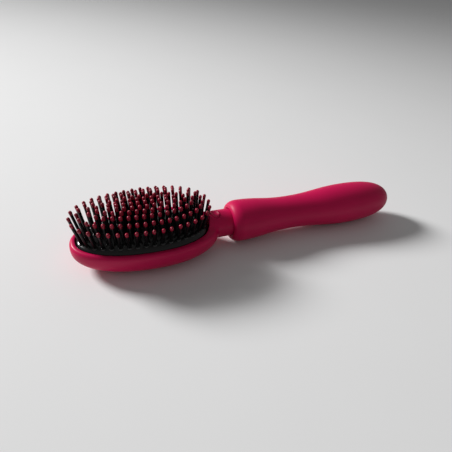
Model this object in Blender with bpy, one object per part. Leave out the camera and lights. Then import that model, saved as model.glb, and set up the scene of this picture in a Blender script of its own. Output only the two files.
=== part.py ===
"""A vibrating styling brush, lying on its back with the bristles up.

The brush head points to -X and the handle to +X. The surface it lies on is
z = 0, and the origin is the middle of the whole length. All sizes are real.
"""

import math

import bmesh
import bpy
from mathutils import Vector
from mathutils.geometry import interpolate_bezier

MM = 0.001

# Clearances
SEAT = 0.3 * MM                  # two pieces that touch
SEAL_GAP = 0.15 * MM             # a rubber ring against the bore it seals
OVERRUN = 2 * MM                 # a cutter past the face it cuts

# Brush head, an oval bowl
HEAD_LENGTH = 97.5 * MM
HEAD_WIDTH = 50.6 * MM
HEAD_DEPTH = 18.8 * MM
HEAD_WALL = 2.2 * MM
BACK_FLAT = 0.5 * MM             # height taken off the bulge of the back
RIM_WIDTH = 3.7 * MM
NECK_RIM_EXTRA = 3.6 * MM        # how much wider the rim is at the neck
RIM_ROUND_WIDTH = 2.3 * MM
RIM_ROUND_HEIGHT = 3.2 * MM
RECESS_DEPTH = 4.8 * MM
LEDGE_WIDTH = 2.4 * MM
OVAL_POWER = 2.2
BOWL_POWER = 2.7
TAPER_SHARE = 0.07               # wider towards the neck, narrower at the tip

# Neck between the head and the handle
NECK_RADIUS = 9.5 * MM
NECK_LENGTH = 8.5 * MM           # what shows between the head and the handle
NECK_ENTRY = 3.7 * MM            # what goes into the handle's mouth
NECK_WALL = 2.4 * MM
FLARE_LENGTH = 24 * MM
FLARE_WIDTH = 6 * MM

# Handle, a turned shape
MOUTH_EDGE = 0.7 * MM
COLLAR_RADIUS = 14.5 * MM
COLLAR_AT = 6.6 * MM
WAIST_RADIUS = 11.8 * MM
WAIST_AT = 45.5 * MM
BULB_RADIUS = 15 * MM
BULB_AT = 96 * MM
NOSE_LENGTH = 38 * MM            # from the bulb's widest place to the round end
SHOULDER_SHARES = (0.62, 0.55)
COLLAR_SHARES = (0.43, 0.46)
BULB_SHARES = (0.45, 0.45)
NOSE_SHARES = (0.60, 0.74)
SLEEVE_WALL = 2 * MM
MOUTH_WALL = 3.6 * MM

# Rubber cushion and the plate behind it
GROOVE = 0.5 * MM                # open line round the cushion
EDGE_DROP = 0.8 * MM             # cushion's edge below the rim
DOME_HEIGHT = 6.4 * MM
DOME_POWER = 2.5
RUBBER = 2 * MM
RIDGE_SHARE = 0.4
PLATE_THICKNESS = 1.8 * MM
PLATE_RIB_DEPTH = 2.5 * MM
PLATE_RIB_WIDTH = 1.6 * MM
EDGE_LEVEL_SHARE = 0.03
PIN_LEVEL_SHARES = (0.09, 0.235, 0.445, 0.6, 0.815, 1.0)

# Pins with ball tips
PIN_COUNTS = (38, 37, 31, 26, 20, 8)
PIN_START_SHARES = (0.83, 0.335, 0.907, 0.435, 0.488)
PIN_ROW_SHARE = 0.9              # centre row against the ridge
PIN_LENGTH = 17.7 * MM             # rubber to the middle of the ball
PIN_RADIUS = 1 * MM
PIN_TOP_RADIUS = 0.9 * MM
PIN_ROOT = 1.2 * MM
BALL_RADIUS = 1.4 * MM
BALL_LENGTH = 2.9 * MM
PIN_LEAN = math.radians(12.5)    # outwards, at the outer ring
PIN_LEAN_SHARES = (1.0, 0.6, 0.3, 0.05, 0.05, 0.0)
PIN_RAKE = math.radians(4.6)     # all pins, towards the tip
PIN_SIDES = 4

# Power button and its switch, in the neck
BUTTON_LAND = 0.8 * MM           # wall between the cushion's well and the switch bore
BUTTON_RADIUS = 3.3 * MM
BUTTON_DISH = 0.7 * MM
BUTTON_PROUD = 0.1 * MM
BUTTON_FLANGE = 0.5 * MM
BUTTON_FLANGE_HEIGHT = 1 * MM
BUTTON_BOTTOM = 3.6 * MM         # above the neck's axis
BUTTON_TRAVEL = 0.6 * MM
SWITCH_SIDE = 6 * MM
SWITCH_HEIGHT = 3.4 * MM
SWITCH_KNOB_RADIUS = 1.7 * MM
BOARD_THICKNESS = 1 * MM

# Spigot that holds the head in the handle
SPIGOT_INSET = 6.6 * MM          # glued length inside the neck
SPIGOT_REACH = 12.6 * MM         # past the neck's end
SPIGOT_WALL = 1.6 * MM
SEAL_AT = 6 * MM                 # from the neck's end
SEAL_THICKNESS = 1.6 * MM
SEAL_DEPTH = 0.8 * MM
CARRIER_LENGTH = 4 * MM
CARRIER_BORE = 2.7 * MM
CONTACT_OFFSET = 3.85 * MM
CONTACT_RADIUS = 0.5 * MM
CONTACT_TAIL = 2.5 * MM

# Rigid core inside the soft sleeve
MOUTH_RING_LENGTH = 12.8 * MM
MOUTH_RING_WALL = 2.4 * MM
BOARD_BAY_RADIUS = 7.9 * MM
CONTACT_BOARD_AT = 2.4 * MM      # behind the mouth ring
SOCKET_RADIUS = 2.3 * MM
SOCKET_BORE = 1.2 * MM
SOCKET_LENGTH = 4.7 * MM
SOCKET_DEPTH = 3.5 * MM
CONTROL_BOARD_LENGTH = 18 * MM
CHIP_LENGTH = 6 * MM
CHIP_WIDTH = 5 * MM
CHIP_HEIGHT = 1.2 * MM
COIL_RADIUS = 2.2 * MM
COIL_HEIGHT = 2.6 * MM
BATTERY_RADIUS = 7 * MM
BATTERY_CAP_RADIUS = 3.2 * MM
BATTERY_CAP_HEIGHT = 1 * MM
BATTERY_CHAMFER = 0.5 * MM
PAD_THICKNESS = 2 * MM
MOTOR_BAY_LEAD = 10 * MM         # the motor's bay starts this much before the bulb
MOTOR_LENGTH = 16 * MM
MOTOR_BOSS_RADIUS = 2.2 * MM
MOTOR_BOSS_LENGTH = 1.4 * MM
MOTOR_BORE_DEPTH = 7 * MM
BOOT_WALL = 1.8 * MM
BOOT_FLOOR = 1.2 * MM
SHAFT_RADIUS = 0.8 * MM
SHAFT_LENGTH = 15 * MM
WEIGHT_RADIUS = 5 * MM
WEIGHT_LENGTH = 5 * MM
WEIGHT_HUB_RADIUS = 2 * MM
WEIGHT_HUB_STEP = 0.4 * MM
WEIGHT_TOP = 0.4 * MM            # flat of the weight above the shaft's axis
WEIGHT_GAP = 1.4 * MM
MOTOR_BAY_CLEAR = 1.2 * MM
SCREW_RADIUS = 0.9 * MM
SCREW_HEAD_RADIUS = 1.3 * MM
SCREW_HEAD_HEIGHT = 1.2 * MM
SCREW_LENGTH = 5.5 * MM
SCREW_HEAD_SEAT = 1.8 * MM       # above the core's parting plane
SCREW_LAND = 4.3 * MM            # core's wall beside the motor's bay, which holds the screws

# Facets
OVAL_SIDES = 48
HANDLE_SIDES = 36
CORE_SIDES = 28
SMALL_SIDES = 20
SMOOTH_ANGLE = math.radians(40)

# Places that follow from the sizes
HANDLE_LENGTH = BULB_AT + NOSE_LENGTH
TOTAL_LENGTH = HEAD_LENGTH + NECK_LENGTH + HANDLE_LENGTH
TIP_X = -TOTAL_LENGTH / 2
HEAD_X = TIP_X + HEAD_LENGTH / 2
NECK_X = TIP_X + HEAD_LENGTH
MOUTH_X = NECK_X + NECK_LENGTH
END_X = MOUTH_X + HANDLE_LENGTH
NECK_END_X = MOUTH_X + NECK_ENTRY
AXIS_Z = BULB_RADIUS
RIM_Z = HEAD_DEPTH
LEDGE_Z = RIM_Z - RECESS_DEPTH
PLATE_Z = LEDGE_Z + SEAT
RUBBER_Z = PLATE_Z + PLATE_THICKNESS + SEAT
PAD_EDGE_Z = RIM_Z - EDGE_DROP
WELL_END_X = NECK_X - RIM_WIDTH - NECK_RIM_EXTRA
NECK_BORE_X = WELL_END_X + BUTTON_LAND
BUTTON_X = NECK_BORE_X + SEAT + BUTTON_FLANGE + BUTTON_RADIUS
NECK_BORE = NECK_RADIUS - NECK_WALL
SPIGOT_RADIUS = NECK_BORE - SEAT
MOUTH_RING_BORE = SPIGOT_RADIUS + SEAT
CORE_FRONT_X = MOUTH_X + MOUTH_WALL + SEAT
RING_BACK_X = CORE_FRONT_X + MOUTH_RING_LENGTH
BAY_X = RING_BACK_X + SEAT
CONTACT_BOARD_X = RING_BACK_X + CONTACT_BOARD_AT
CONTROL_BOARD_X = CONTACT_BOARD_X + BOARD_THICKNESS + SEAT
BATTERY_X = CONTROL_BOARD_X + CONTROL_BOARD_LENGTH + SEAT + PAD_THICKNESS + SEAT
BATTERY_BORE = BATTERY_RADIUS + SEAT
BOOT_X = MOUTH_X + BULB_AT - MOTOR_BAY_LEAD
BATTERY_END_X = BOOT_X - SEAT
MOTOR_X = BOOT_X + BOOT_FLOOR + SEAT
MOTOR_END_X = MOTOR_X + MOTOR_LENGTH
MOTOR_BAY_RADIUS = BULB_RADIUS - SLEEVE_WALL - SEAT - SCREW_LAND
BOOT_RADIUS = MOTOR_BAY_RADIUS - SEAT
MOTOR_RADIUS = BOOT_RADIUS - BOOT_WALL - SEAT
SHAFT_X = MOTOR_END_X - MOTOR_BORE_DEPTH + SEAT
WEIGHT_X = MOTOR_END_X + MOTOR_BOSS_LENGTH + WEIGHT_GAP
MOTOR_BAY_END_X = SHAFT_X + SHAFT_LENGTH + MOTOR_BAY_CLEAR
SCREW_X = BOOT_X + SCREW_RADIUS
SCREW_OFFSET = MOTOR_BAY_RADIUS + SCREW_LAND / 2


def material(name, colour, roughness, metallic=0.0):
    made = bpy.data.materials.new(name)
    made.use_nodes = True
    shader = made.node_tree.nodes["Principled BSDF"]
    shader.inputs["Base Color"].default_value = (*colour, 1)
    shader.inputs["Roughness"].default_value = roughness
    shader.inputs["Metallic"].default_value = metallic
    return made


def materials():
    return {
        "soft_pink": material("soft_pink", (0.50, 0.004, 0.060), 0.55),
        "black_rubber": material("black_rubber", (0.006, 0.006, 0.008), 0.25),
        "black_nylon": material("black_nylon", (0.010, 0.010, 0.012), 0.40),
        "black_plastic": material("black_plastic", (0.015, 0.015, 0.017), 0.50),
        "grey_plastic": material("grey_plastic", (0.30, 0.30, 0.32), 0.50),
        "board_green": material("board_green", (0.01, 0.12, 0.04), 0.45),
        "steel": material("steel", (0.60, 0.60, 0.62), 0.30, 1.0),
        "brass": material("brass", (0.75, 0.55, 0.20), 0.30, 1.0),
        "seal_grey": material("seal_grey", (0.08, 0.08, 0.09), 0.60),
        "cell_blue": material("cell_blue", (0.02, 0.12, 0.40), 0.40),
        "foam_grey": material("foam_grey", (0.10, 0.10, 0.11), 0.95),
    }


def group(name, x, y, z):
    """An empty on a joint's axis, which carries the pieces of one body."""
    empty = bpy.data.objects.new(name, None)
    empty.location = (x, y, z)
    bpy.context.collection.objects.link(empty)
    return empty


def place(name, bm, at, finish=None, parent=None):
    """Turn a bmesh into an object that stands at a place in the whole part."""
    bmesh.ops.remove_doubles(bm, verts=bm.verts, dist=SEAT / 1000)
    bmesh.ops.recalc_face_normals(bm, faces=bm.faces)
    mesh = bpy.data.meshes.new(name)
    bm.to_mesh(mesh)
    bm.free()
    mesh.shade_smooth()
    mesh.set_sharp_from_angle(angle=SMOOTH_ANGLE)
    piece = bpy.data.objects.new(name, mesh)
    bpy.context.collection.objects.link(piece)
    piece.location = Vector(at)
    if parent is not None:
        piece.parent = parent
        piece.location -= parent.location
    if finish is None:
        piece.hide_render = True
        piece.display_type = "WIRE"
    else:
        mesh.materials.append(finish)
    return piece


def combine(piece, tool, operation):
    """Cut a piece with a tool, or fuse the tool to it."""
    step = piece.modifiers.new(f"{operation.lower()}_{tool.name}", "BOOLEAN")
    step.operation = operation
    step.solver = "EXACT"
    step.object = tool


def cut(piece, *tools):
    for tool in tools:
        combine(piece, tool, "DIFFERENCE")


def fuse(piece, *tools):
    for tool in tools:
        combine(piece, tool, "UNION")


def skin(bm, loops, ring=False):
    """Faces from loop to loop, with both ends closed unless it is a ring."""
    rows = [[bm.verts.new(point) for point in loop] for loop in loops]
    pairs = list(zip(rows, rows[1:]))
    if ring:
        pairs.append((rows[-1], rows[0]))
    for low, high in pairs:
        for i in range(len(low)):
            j = (i + 1) % len(low)
            bm.faces.new((low[i], low[j], high[j], high[i]))
    if not ring:
        bm.faces.new(reversed(rows[0]))
        bm.faces.new(rows[-1])


def turned(name, profile, at, finish=None, parent=None, axis="X", sides=SMALL_SIDES,
           ring=False):
    """A profile of (place along the axis, radius) spun round X or Z."""
    bm = bmesh.new()
    if axis == "X":
        points = [(along, 0, radius) for along, radius in profile]
        spin_axis = (1, 0, 0)
    else:
        points = [(radius, 0, along) for along, radius in profile]
        spin_axis = (0, 0, 1)
    verts = [bm.verts.new(point) for point in points]
    edges = [bm.edges.new(pair) for pair in zip(verts, verts[1:])]
    if ring:
        edges.append(bm.edges.new((verts[-1], verts[0])))
    bmesh.ops.spin(bm, geom=verts + edges, cent=(0, 0, 0), axis=spin_axis,
                   angle=math.tau, steps=sides, use_merge=True)
    return place(name, bm, at, finish, parent)


def block(name, size, at, finish=None, parent=None):
    """A box that stands on the middle of its underside."""
    bm = bmesh.new()
    bmesh.ops.create_cube(bm, size=1)
    bmesh.ops.scale(bm, vec=size, verts=bm.verts)
    bmesh.ops.translate(bm, vec=(0, 0, size[2] / 2), verts=bm.verts)
    return place(name, bm, at, finish, parent)


def rod_profile(length, radius):
    return [(0, 0), (0, radius), (length, radius), (length, 0)]


def tube_profile(length, outer, inner):
    return [(0, inner), (0, outer), (length, outer), (length, inner)]


def oval_point(angle, half_length, half_width):
    """A point on the egg-shaped oval that the whole head follows."""
    c, s = math.cos(angle), math.sin(angle)
    x = math.copysign(abs(c) ** (2 / OVAL_POWER), c)
    y = math.copysign(abs(s) ** (2 / OVAL_POWER), s) * (1 + TAPER_SHARE * x)
    return x * half_length, y * half_width


def oval_loop(half_length, half_width, z, shift=0.0):
    points = []
    for i in range(OVAL_SIDES):
        x, y = oval_point(math.tau * i / OVAL_SIDES, half_length, half_width)
        points.append((x - shift, y, z))
    return points


def head_loop(inset, z):
    """The head's outline, drawn in by an inset."""
    return oval_loop(HEAD_LENGTH / 2 - inset, HEAD_WIDTH / 2 - inset, z)


def well_loop(inset, z):
    """The outline of the cushion's well, which keeps a wider rim at the neck."""
    half_length, half_width, shift = well_sizes(inset)
    return oval_loop(half_length, half_width, z, shift)


def well_sizes(inset):
    shift = NECK_RIM_EXTRA / 2
    return HEAD_LENGTH / 2 - inset - shift, HEAD_WIDTH / 2 - inset, shift


def bowl_loops(half_length, half_width, shift, bottom_z, top_z, steps):
    """Loops up the side of a bowl with a flat on its bottom."""
    depth = top_z - bottom_z
    full = depth + BACK_FLAT
    first = math.acos((depth / full) ** (BOWL_POWER / 2))
    loops = []
    for i in range(steps + 1):
        angle = first + (math.pi / 2 - first) * i / steps
        low = math.cos(angle) ** (2 / BOWL_POWER) if i < steps else 0
        wide = math.sin(angle) ** (2 / BOWL_POWER)
        z = bottom_z if i == 0 else top_z - full * low
        loops.append(oval_loop(half_length * wide, half_width * wide, z, shift))
    return loops


def head_body():
    bm = bmesh.new()
    side_z = RIM_Z - RIM_ROUND_HEIGHT
    loops = bowl_loops(HEAD_LENGTH / 2, HEAD_WIDTH / 2, 0, 0, side_z, 7)
    for i in range(1, 5):
        angle = math.pi / 2 * i / 4
        inset = RIM_ROUND_WIDTH * (1 - math.cos(angle))
        loops.append(head_loop(inset, side_z + RIM_ROUND_HEIGHT * math.sin(angle)))
    skin(bm, loops)
    return bm


def neck_body():
    """The round neck, which flares sideways where it grows out of the bowl."""
    bm = bmesh.new()
    loops = []
    steps = 6
    for i in range(steps + 1):
        share = i / steps
        half_width = NECK_RADIUS + FLARE_WIDTH * (1 - share) ** 2
        x = NECK_X - FLARE_LENGTH * (1 - share)
        loops.append(neck_section(x, half_width))
    loops.append(neck_section(NECK_END_X, NECK_RADIUS))
    skin(bm, loops)
    return bm


def neck_section(x, half_width):
    points = []
    for i in range(HANDLE_SIDES):
        angle = math.tau * i / HANDLE_SIDES
        points.append((x, half_width * math.cos(angle), NECK_RADIUS * math.sin(angle)))
    return points


def recess_body():
    """What is cut out of the head: a well for the cushion, and a hollow below."""
    bm = bmesh.new()
    inset = RIM_WIDTH + LEDGE_WIDTH
    loops = bowl_loops(*well_sizes(inset), HEAD_WALL, LEDGE_Z - LEDGE_WIDTH, 5)
    loops.append(well_loop(inset, LEDGE_Z))
    loops.append(well_loop(RIM_WIDTH, LEDGE_Z))
    loops.append(well_loop(RIM_WIDTH, AXIS_Z + NECK_RADIUS + OVERRUN))
    skin(bm, loops)
    return bm


def make_head_shell(finish, head):
    shell = place("head_shell", head_body(), (HEAD_X, 0, 0), finish, head)
    neck = place("neck_form", neck_body(), (0, 0, AXIS_Z), None, head)
    recess = place("recess_cutter", recess_body(), (HEAD_X, 0, 0), None, head)
    bore = turned("neck_bore_cutter",
                  rod_profile(NECK_END_X - NECK_BORE_X + OVERRUN, NECK_BORE),
                  (NECK_BORE_X, 0, AXIS_Z), None, head, sides=HANDLE_SIDES)
    well = turned("button_well_cutter", rod_profile(NECK_RADIUS, BUTTON_RADIUS + SEAT),
                  (BUTTON_X, 0, AXIS_Z + BUTTON_BOTTOM), None, head, axis="Z")
    fuse(shell, neck)
    cut(shell, recess, bore, well)


def pad_contour(level, drop=0.0):
    """The cushion's contour at a level from 0, its edge, to 1, its ridge."""
    half_length, half_width, shift = pad_sizes(level)
    return oval_loop(half_length, half_width, pad_height(level) - drop, shift)


def pad_sizes(level):
    half_length, half_width, shift = well_sizes(RIM_WIDTH + GROOVE)
    return half_length * (1 - level * (1 - RIDGE_SHARE)), half_width * (1 - level), shift


def pad_height(level):
    return PAD_EDGE_Z + DOME_HEIGHT * (1 - (1 - level) ** DOME_POWER)


def gap_level():
    """The change of level that opens a seat's gap between two rubber slices."""
    return SEAT / (HEAD_WIDTH / 2 - RIM_WIDTH - GROOVE)


def slice_levels():
    """Where the cushion is divided: half way between the rings of pins."""
    levels = [EDGE_LEVEL_SHARE]
    for outer, inner in zip(PIN_LEVEL_SHARES, PIN_LEVEL_SHARES[1:]):
        levels.append((outer + inner) / 2)
    return levels


def make_cushion_edge(finish, head):
    """The plain edge of the cushion, which stands on the plate in the well."""
    bm = bmesh.new()
    inner = EDGE_LEVEL_SHARE
    loops = [well_loop(RIM_WIDTH + GROOVE, RUBBER_Z)]
    loops += [pad_contour(inner * share) for share in (0, 0.3, 1)]
    loops.append(pad_contour(inner, pad_height(inner) - RUBBER_Z))
    skin(bm, loops, ring=True)
    place("cushion_edge", bm, (HEAD_X, 0, 0), finish, head)


def row_places(count):
    """Even places along the ridge, with no outward direction."""
    half_length, _, shift = pad_sizes(1)
    half_length *= PIN_ROW_SHARE
    step = 2 * half_length / (count - 1)
    return [(step * i - half_length - shift, 0, 0, 0) for i in range(count)]


def ring_places(level, count, start):
    """Even places along a contour, each with its outward direction in plan."""
    half_length, half_width, shift = pad_sizes(level)
    fine = 720
    points = [oval_point(math.tau * i / fine, half_length, half_width)
              for i in range(fine + 1)]
    lengths = [0.0]
    for (x0, y0), (x1, y1) in zip(points, points[1:]):
        lengths.append(lengths[-1] + math.hypot(x1 - x0, y1 - y0))
    places = []
    index = 0
    for i in range(count):
        wanted = lengths[-1] * (i + start) / count
        while lengths[index + 1] < wanted:
            index += 1
        x0, y0 = points[index]
        x1, y1 = points[index + 1]
        part = (wanted - lengths[index]) / (lengths[index + 1] - lengths[index])
        run = math.hypot(x1 - x0, y1 - y0)
        places.append((x0 + (x1 - x0) * part - shift, y0 + (y1 - y0) * part,
                       (y1 - y0) / run, (x0 - x1) / run))
    return places


def add_pin(bm, foot, lean, out_x, out_y):
    """A tapered four-sided pin with a ball tip, leaning outwards and to the tip."""
    direction = Vector((math.sin(lean) * out_x - math.sin(PIN_RAKE),
                        math.sin(lean) * out_y, math.cos(lean))).normalized()
    side = direction.cross(Vector((0, 1, 0))).normalized()
    other = direction.cross(side)
    ball_foot = PIN_LENGTH - BALL_LENGTH / 2
    profile = [(-PIN_ROOT, PIN_RADIUS), (ball_foot, PIN_TOP_RADIUS),
               (PIN_LENGTH, BALL_RADIUS), (PIN_LENGTH + BALL_LENGTH / 3, BALL_RADIUS / 2)]
    loops = []
    for along, radius in profile:
        loop = []
        for i in range(PIN_SIDES):
            angle = math.tau * (i + 0.5) / PIN_SIDES
            loop.append(foot + direction * along
                        + side * (radius * math.cos(angle))
                        + other * (radius * math.sin(angle)))
        loops.append(loop)
    skin(bm, loops)


def make_bristles(materials_by_name, head):
    """Six slices of the cushion, each with its ring of pins standing in it."""
    bounds = slice_levels()
    names = [f"bristle_ring_{i + 1}" for i in range(len(PIN_COUNTS) - 1)]
    names.append("bristle_centre_row")
    for i, name in enumerate(names):
        bm = bmesh.new()
        outer = bounds[i] + gap_level()
        if i < len(names) - 1:
            inner = bounds[i + 1]
            skin(bm, [pad_contour(outer, RUBBER), pad_contour(outer),
                      pad_contour(inner), pad_contour(inner, RUBBER)], ring=True)
        else:
            skin(bm, [pad_contour(outer, RUBBER), pad_contour(outer)])
        piece = place(name, bm, (HEAD_X, 0, 0), materials_by_name["black_nylon"], head)
        pins = bmesh.new()
        level = PIN_LEVEL_SHARES[i]
        lean = PIN_LEAN * PIN_LEAN_SHARES[i]
        if level < 1:
            places = ring_places(level, PIN_COUNTS[i], PIN_START_SHARES[i])
        else:
            places = row_places(PIN_COUNTS[i])
        for x, y, out_x, out_y in places:
            foot = Vector((x, y, pad_height(min(level, bounds[-1]))))
            add_pin(pins, foot, lean, out_x, out_y)
        fuse(piece, place(f"{name}_pins", pins, (HEAD_X, 0, 0), None, head))


def make_base_plate(finish, head):
    """The plate that closes the bowl, with a rib that finds the ledge."""
    bm = bmesh.new()
    edge = RIM_WIDTH + SEAT
    rib = RIM_WIDTH + LEDGE_WIDTH + SEAT
    top_z = PLATE_Z + PLATE_THICKNESS
    rib_z = PLATE_Z - PLATE_RIB_DEPTH
    skin(bm, [well_loop(rib + PLATE_RIB_WIDTH, PLATE_Z), well_loop(rib + PLATE_RIB_WIDTH, rib_z),
              well_loop(rib, rib_z), well_loop(rib, PLATE_Z),
              well_loop(edge, PLATE_Z), well_loop(edge, top_z)])
    place("base_plate", bm, (HEAD_X, 0, 0), finish, head)


def make_switch(finishes, head, button):
    board_z = (AXIS_Z + BUTTON_BOTTOM - BUTTON_TRAVEL - SEAT - SWITCH_HEIGHT
               - SEAT - BOARD_THICKNESS)
    off_axis = AXIS_Z - board_z
    half_board = math.sqrt(NECK_BORE ** 2 - off_axis ** 2) - 2 * SEAT
    start = NECK_BORE_X + SEAT
    end = NECK_END_X - SPIGOT_INSET - SEAT
    block("switch_board", (end - start, 2 * half_board, BOARD_THICKNESS),
          ((start + end) / 2, 0, board_z), finishes["board_green"], head)
    switch_z = board_z + BOARD_THICKNESS + SEAT
    knob_height = SWITCH_HEIGHT / 5
    switch = block("tact_switch", (SWITCH_SIDE, SWITCH_SIDE, SWITCH_HEIGHT - knob_height),
                   (BUTTON_X, 0, switch_z), finishes["black_plastic"], head)
    knob = turned("switch_knob_form", rod_profile(SWITCH_HEIGHT / 2, SWITCH_KNOB_RADIUS),
                  (BUTTON_X, 0, switch_z + SWITCH_HEIGHT / 2), None, head, axis="Z")
    fuse(switch, knob)
    top = NECK_RADIUS - BUTTON_BOTTOM + BUTTON_PROUD
    flange = BUTTON_RADIUS + BUTTON_FLANGE
    profile = [(0, 0), (0, flange), (BUTTON_FLANGE_HEIGHT, flange),
               (BUTTON_FLANGE_HEIGHT, BUTTON_RADIUS),
               (top - BUTTON_DISH / 2, BUTTON_RADIUS), (top, BUTTON_RADIUS - BUTTON_DISH),
               (top - BUTTON_DISH / 2, BUTTON_RADIUS / 2), (top - BUTTON_DISH, 0)]
    turned("power_button", profile, (BUTTON_X, 0, AXIS_Z + BUTTON_BOTTOM),
           finishes["soft_pink"], button, axis="Z")


def make_spigot(finishes, head):
    start = NECK_END_X - SPIGOT_INSET
    length = SPIGOT_INSET + SPIGOT_REACH
    inner = SPIGOT_RADIUS - SPIGOT_WALL
    groove_start = SPIGOT_INSET + SEAL_AT
    groove_end = groove_start + SEAL_THICKNESS + 2 * SEAT
    floor = SPIGOT_RADIUS - SEAL_DEPTH
    turned("neck_spigot",
           [(0, inner), (0, SPIGOT_RADIUS), (groove_start, SPIGOT_RADIUS),
            (groove_start, floor), (groove_end, floor), (groove_end, SPIGOT_RADIUS),
            (length, SPIGOT_RADIUS), (length, inner)],
           (start, 0, AXIS_Z), finishes["black_plastic"], head, sides=CORE_SIDES, ring=True)
    seal_outer = MOUTH_RING_BORE - SEAL_GAP
    seal_inner = floor + SEAT
    bulge = SEAL_THICKNESS / 4
    turned("spigot_seal",
           [(0, seal_inner), (0, seal_outer - bulge), (bulge, seal_outer),
            (SEAL_THICKNESS - bulge, seal_outer), (SEAL_THICKNESS, seal_outer - bulge),
            (SEAL_THICKNESS, seal_inner)],
           (start + groove_start + SEAT, 0, AXIS_Z), finishes["seal_grey"], head,
           sides=CORE_SIDES, ring=True)
    carrier_x = start + length - CARRIER_LENGTH
    carrier = turned("contact_carrier",
                     tube_profile(CARRIER_LENGTH, inner - SEAT, CARRIER_BORE),
                     (carrier_x, 0, AXIS_Z), finishes["grey_plastic"], head,
                     sides=CORE_SIDES, ring=True)
    pin_x = carrier_x - CONTACT_TAIL
    pin_length = CONTACT_BOARD_X - SEAT - pin_x
    for side, name in ((1, "left"), (-1, "right")):
        at = (pin_x, side * CONTACT_OFFSET, AXIS_Z)
        turned(f"contact_pin_{name}", rod_profile(pin_length, CONTACT_RADIUS), at,
               finishes["brass"], head, sides=SMALL_SIDES // 2)
        hole = turned(f"contact_hole_{name}",
                      rod_profile(pin_length, CONTACT_RADIUS + SEAT), at, None, head,
                      sides=SMALL_SIDES // 2)
        cut(carrier, hole)


def handle_profile():
    """The handle's outline from its mouth to its round end."""
    mouth_radius = NECK_RADIUS + SEAT + MOUTH_EDGE
    rise = COLLAR_RADIUS - mouth_radius
    spans = [
        ((0, mouth_radius), (0, mouth_radius + rise * SHOULDER_SHARES[0]),
         (COLLAR_AT * SHOULDER_SHARES[1], COLLAR_RADIUS), (COLLAR_AT, COLLAR_RADIUS), 6),
        tangent_span(COLLAR_AT, COLLAR_RADIUS, WAIST_AT, WAIST_RADIUS, COLLAR_SHARES, 7),
        tangent_span(WAIST_AT, WAIST_RADIUS, BULB_AT, BULB_RADIUS, BULB_SHARES, 7),
        ((BULB_AT, BULB_RADIUS),
         (BULB_AT + (HANDLE_LENGTH - BULB_AT) * NOSE_SHARES[0], BULB_RADIUS),
         (HANDLE_LENGTH, BULB_RADIUS * NOSE_SHARES[1]), (HANDLE_LENGTH, 0), 9),
    ]
    points = []
    for start, start_handle, end_handle, end, steps in spans:
        curve = [Vector(p) for p in (start, start_handle, end_handle, end)]
        run = interpolate_bezier(*curve, steps)
        points += run[1:] if points else run
    return [(p.x, max(p.y, 0)) for p in points]


def tangent_span(x0, r0, x1, r1, shares, steps):
    """A curve that leaves and arrives along the axis."""
    reach = x1 - x0
    return ((x0, r0), (x0 + reach * shares[0], r0), (x1 - reach * shares[1], r1),
            (x1, r1), steps)


def inset_profile(profile, depth, start):
    """The profile moved inwards by a depth, kept from a start place on."""
    moved = []
    for i, (x, r) in enumerate(profile):
        x0, r0 = profile[max(i - 1, 0)]
        x1, r1 = profile[min(i + 1, len(profile) - 1)]
        along = Vector((x1 - x0, r1 - r0)).normalized()
        if r == 0:
            along = Vector((0, -1))
        moved.append((x + along.y * depth, max(r - along.x * depth, 0)))
    kept = [moved[-1]]
    for i in range(len(moved) - 1, 0, -1):
        x0, r0 = moved[i - 1]
        x1, r1 = moved[i]
        if x0 <= start:
            kept.append((start, r0 + (r1 - r0) * (start - x0) / (x1 - x0)))
            break
        if i % 2 == 0:
            kept.append((x0, r0))
    return kept


def make_sleeve(finish, handle):
    """The soft sleeve, closed at its end and open at the mouth."""
    outer = handle_profile()
    inner = inset_profile(outer, SLEEVE_WALL, MOUTH_WALL)
    mouth = NECK_RADIUS + SEAT
    lip = [(MOUTH_WALL, mouth), (0, mouth)]
    turned("handle_sleeve", [*reversed(outer[1:]), outer[0], *reversed(lip), *reversed(inner)],
           (MOUTH_X, 0, AXIS_Z), finish, handle, sides=HANDLE_SIDES)


def core_profile():
    """The core's outline round its outside, then its stepped bore."""
    front = CORE_FRONT_X - MOUTH_X
    outside = inset_profile(handle_profile(), SLEEVE_WALL + SEAT, front)
    ring_bay = MOUTH_RING_BORE + MOUTH_RING_WALL + SEAT
    board_bay_end = BATTERY_X - PAD_THICKNESS - 2 * SEAT - MOUTH_X
    steps = [(front, ring_bay), (BAY_X - MOUTH_X, ring_bay),
             (BAY_X - MOUTH_X, BOARD_BAY_RADIUS), (board_bay_end, BOARD_BAY_RADIUS),
             (board_bay_end, BATTERY_BORE), (BATTERY_END_X - MOUTH_X, BATTERY_BORE),
             (BATTERY_END_X - MOUTH_X, MOTOR_BAY_RADIUS),
             (MOTOR_BAY_END_X - MOUTH_X, MOTOR_BAY_RADIUS), (MOTOR_BAY_END_X - MOUTH_X, 0)]
    return outside + steps


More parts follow.
